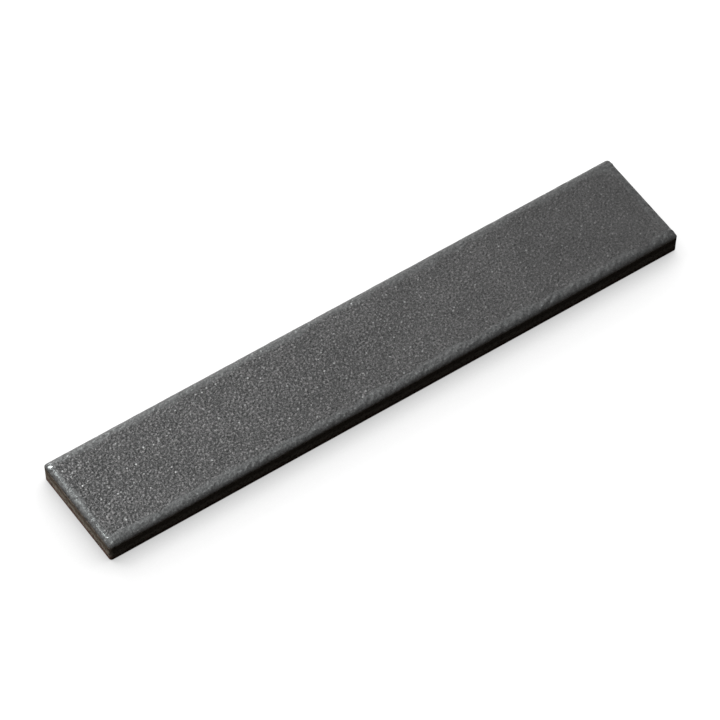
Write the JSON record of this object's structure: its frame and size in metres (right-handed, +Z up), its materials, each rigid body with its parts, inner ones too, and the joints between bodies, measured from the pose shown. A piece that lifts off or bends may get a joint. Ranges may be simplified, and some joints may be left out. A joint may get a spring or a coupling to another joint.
{
  "type": "porcelain border tile",
  "caption": "Narrow rectangular pressed porcelain tile with a sandy dark face, a smooth rounded shoulder on all sides, slightly drafted walls and a keyed back.",
  "frame": {"origin": "middle of the back, on the plane that the adhesive bed meets", "axes": "+X along the length of the tile, +Y across its width, +Z up out of the face"},
  "size_m": [0.225, 0.04, 0.0084],
  "materials": {
    "porcelain": "sandy satin face with a smoother rim, dark brown fired sides"
  },
  "bodies": {
    "root": {"tile": "porcelain"}
  },
  "joints": []
}
